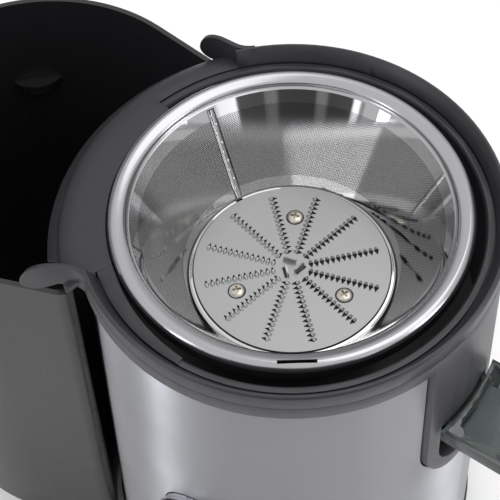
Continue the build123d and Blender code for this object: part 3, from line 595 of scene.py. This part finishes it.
def make_disc():
    parts = [punched_sheet()]
    parts += [tooth_dome(r, turn) for r, turn in tooth_places()]
    parts += [hub_blade(k) for k in range(TAB_COUNT)]
    mesh_piece("punched_disc", *joined(parts), "basket", "disc_steel", ["grater_disc"], sharp=radians(50))


# ---- camera, floor and light -------------------------------------------------------------

AZIMUTH = radians(30.0)
ELEVATION = radians(55.46)
ROLL = radians(-2.74)
FOCAL_LENGTH = 118.8
RIM_DEPTH = 0.6953
RIM_OFFSET_RIGHT = 0.01744
RIM_OFFSET_UP = 0.01627


def make_camera():
    """A long lens looking down at the basket, with the rim's centre right of and above the middle."""
    forward = Vector((-sin(AZIMUTH) * cos(ELEVATION), cos(AZIMUTH) * cos(ELEVATION), -sin(ELEVATION)))
    level_right = Vector((cos(AZIMUTH), sin(AZIMUTH), 0.0))
    level_up = level_right.cross(forward)
    right = cos(ROLL) * level_right + sin(ROLL) * level_up
    up = cos(ROLL) * level_up - sin(ROLL) * level_right
    rim_centre = AXIS + Vector((0, 0, RIM_Z))
    place = rim_centre - RIM_OFFSET_RIGHT * right - RIM_OFFSET_UP * up - RIM_DEPTH * forward
    data = bpy.data.cameras.new("camera")
    data.lens = FOCAL_LENGTH
    data.sensor_width = 36.0
    data.clip_start = 0.01
    camera = bpy.data.objects.new("camera", data)
    turn = Matrix((right, up, -forward)).transposed().to_4x4()
    camera.matrix_world = Matrix.Translation(place) @ turn
    bpy.context.scene.collection.objects.link(camera)
    bpy.context.scene.camera = camera


def area_light(name, place, target, size, power, color=(1, 1, 1), only_on=None):
    """A soft box; one with only_on lights nothing but that collection."""
    data = bpy.data.lights.new(name, "AREA")
    data.shape = "RECTANGLE"
    data.size, data.size_y = size
    data.energy = power
    data.color = color
    light = bpy.data.objects.new(name, data)
    if only_on:
        light.light_linking.receiver_collection = only_on
    place, target = Vector(place), Vector(target)
    light.location = place
    light.rotation_euler = (target - place).to_track_quat("-Z", "Y").to_euler()
    bpy.context.scene.collection.objects.link(light)


def make_floor():
    """A plain white sweep, far larger than the object."""
    half = 4.0
    mesh = bpy.data.meshes.new("floor")
    corners = [(-half, -half, 0), (half, -half, 0), (half, half, 0), (-half, half, 0)]
    mesh.from_pydata(corners, [], [(0, 1, 2, 3)])
    sweep = bpy.data.objects.new("floor", mesh)
    bpy.context.scene.collection.objects.link(sweep)
    mesh.materials.append(make_paint("floor_white", (0.93, 0.93, 0.93), 0.7, shade=0.004, relief=0.02))


# The room's wall as (azimuth in degrees, brightness): dark gaps between tall windows
ROOM_BANDS = [
    (-180, 0.45), (-166, 0.40), (-160, 0.72), (-146, 0.75), (-143, 0.60), (-108, 0.70), (-107, 0.40),
    (-105, 0.40), (-104.5, 1.75), (-101, 1.70), (-100, 0.10), (-86, 0.08), (-84, 0.26), (-79, 0.26),
    (-78, 0.07), (-56, 0.08), (-54, 0.26), (-48, 0.24), (-47, 0.10), (-31, 0.12), (-30, 1.60), (-19, 1.40),
    (-17, 0.72), (40, 0.70), (46, 0.16), (70, 0.20), (78, 0.75), (110, 0.60), (130, 0.25), (155, 0.30),
    (180, 0.45),
]
DOME_BRIGHTNESS = 1.05
# Tall strip lights for the brushed sleeve alone: (name, azimuth in degrees, width, power)
SLEEVE_STRIPS = [
    ("left_strip", -120, 0.06, 1.9), ("right_strip", 12, 0.24, 3.0), ("far_strip", -162, 0.50, 1.2),
]
STRIP_DISTANCE, STRIP_HEIGHT, STRIP_LENGTH = 0.8, 0.35, 0.7
STRIP_COLOR = (0.92, 0.95, 1.0)
DOME_START, DOME_FULL = 0.30, 0.62


def make_light():
    """A bright ceiling over a room of dark walls and tall windows, with soft boxes and the sleeve's strips."""
    world = bpy.data.worlds.new("room")
    world.use_nodes = True
    tree = world.node_tree
    background = tree.nodes["Background"]
    place = tree.nodes.new("ShaderNodeTexCoord")
    apart = tree.nodes.new("ShaderNodeSeparateXYZ")
    azimuth = tree.nodes.new("ShaderNodeMath")
    azimuth.operation = "ARCTAN2"
    share = add_node(tree, "ShaderNodeMapRange")
    share.inputs["From Min"].default_value = -pi
    share.inputs["From Max"].default_value = pi
    bands = tree.nodes.new("ShaderNodeValToRGB")
    stops = bands.color_ramp.elements
    while len(stops) < len(ROOM_BANDS):
        stops.new(0.5)
    for stop, (angle, brightness) in zip(stops, ROOM_BANDS):
        stop.position = (angle + 180) / 360
        stop.color = (brightness, brightness, brightness * 1.02, 1)
    rise = add_node(tree, "ShaderNodeMapRange")
    rise.interpolation_type = "SMOOTHSTEP"
    rise.inputs["From Min"].default_value = DOME_START
    rise.inputs["From Max"].default_value = DOME_FULL
    mix = tree.nodes.new("ShaderNodeMix")
    mix.data_type = "RGBA"
    mix.inputs["B"].default_value = (DOME_BRIGHTNESS, DOME_BRIGHTNESS, DOME_BRIGHTNESS, 1)
    tree.links.new(place.outputs["Generated"], apart.inputs["Vector"])
    tree.links.new(apart.outputs["Y"], azimuth.inputs[0])
    tree.links.new(apart.outputs["X"], azimuth.inputs[1])
    tree.links.new(azimuth.outputs["Value"], share.inputs["Value"])
    tree.links.new(share.outputs["Result"], bands.inputs["Fac"])
    tree.links.new(apart.outputs["Z"], rise.inputs["Value"])
    tree.links.new(rise.outputs["Result"], mix.inputs["Factor"])
    tree.links.new(bands.outputs["Color"], mix.inputs["A"])
    tree.links.new(mix.outputs["Result"], background.inputs["Color"])
    background.inputs["Strength"].default_value = 1.0
    bpy.context.scene.world = world
    centre = (AXIS.x, AXIS.y, 0.2)
    area_light("top_box", (0.5, 0.5, 1.9), centre, (1.5, 1.2), 8)
    area_light("left_box", (-0.62, -1.1, 0.6), centre, (0.16, 1.1), 3.0, (0.90, 0.94, 1.0))
    area_light("right_box", (1.25, 0.22, 0.6), centre, (0.36, 1.1), 4.0, (0.94, 0.96, 1.0))
    sleeve = bpy.data.collections.new("sleeve")
    for node, slot in SLOT_OF.items():
        if slot == "brushed_sleeve":
            sleeve.objects.link(frame["nodes"][node])
    low_centre = (AXIS.x, AXIS.y, 0.1)
    for name, angle, width, power in SLEEVE_STRIPS:
        x = AXIS.x + STRIP_DISTANCE * cos(radians(angle))
        y = AXIS.y + STRIP_DISTANCE * sin(radians(angle))
        size = (width, STRIP_LENGTH)
        area_light(name, (x, y, STRIP_HEIGHT), low_centre, size, power, STRIP_COLOR, sleeve)
    bpy.context.scene.view_settings.view_transform = "Standard"


# ---- the whole scene ---------------------------------------------------------------------

paint = {name: make_paint(name, **values) for name, values in PAINTS.items()}
for node, cad_node in frame["nodes"].items():
    cad_node.data.materials.clear()
    cad_node.data.materials.append(paint[SLOT_OF[node]])

SOFT_EDGES = {
    "juice_bowl": 0.35, "housing_collar": 0.35, "juice_spout": 0.3, "dial_knob": 0.5,
    "dial_bezel": 0.4, "cord_gland": 0.6, "base_plate": 0.5,
}
for node, width in SOFT_EDGES.items():
    soft_piece = softened(node, width)
    if node == "juice_bowl":
        trim_chute(soft_piece)
make_strainer()
make_overlap()
make_rim()
make_disc()
make_screws()
make_camera()
make_floor()
make_light()
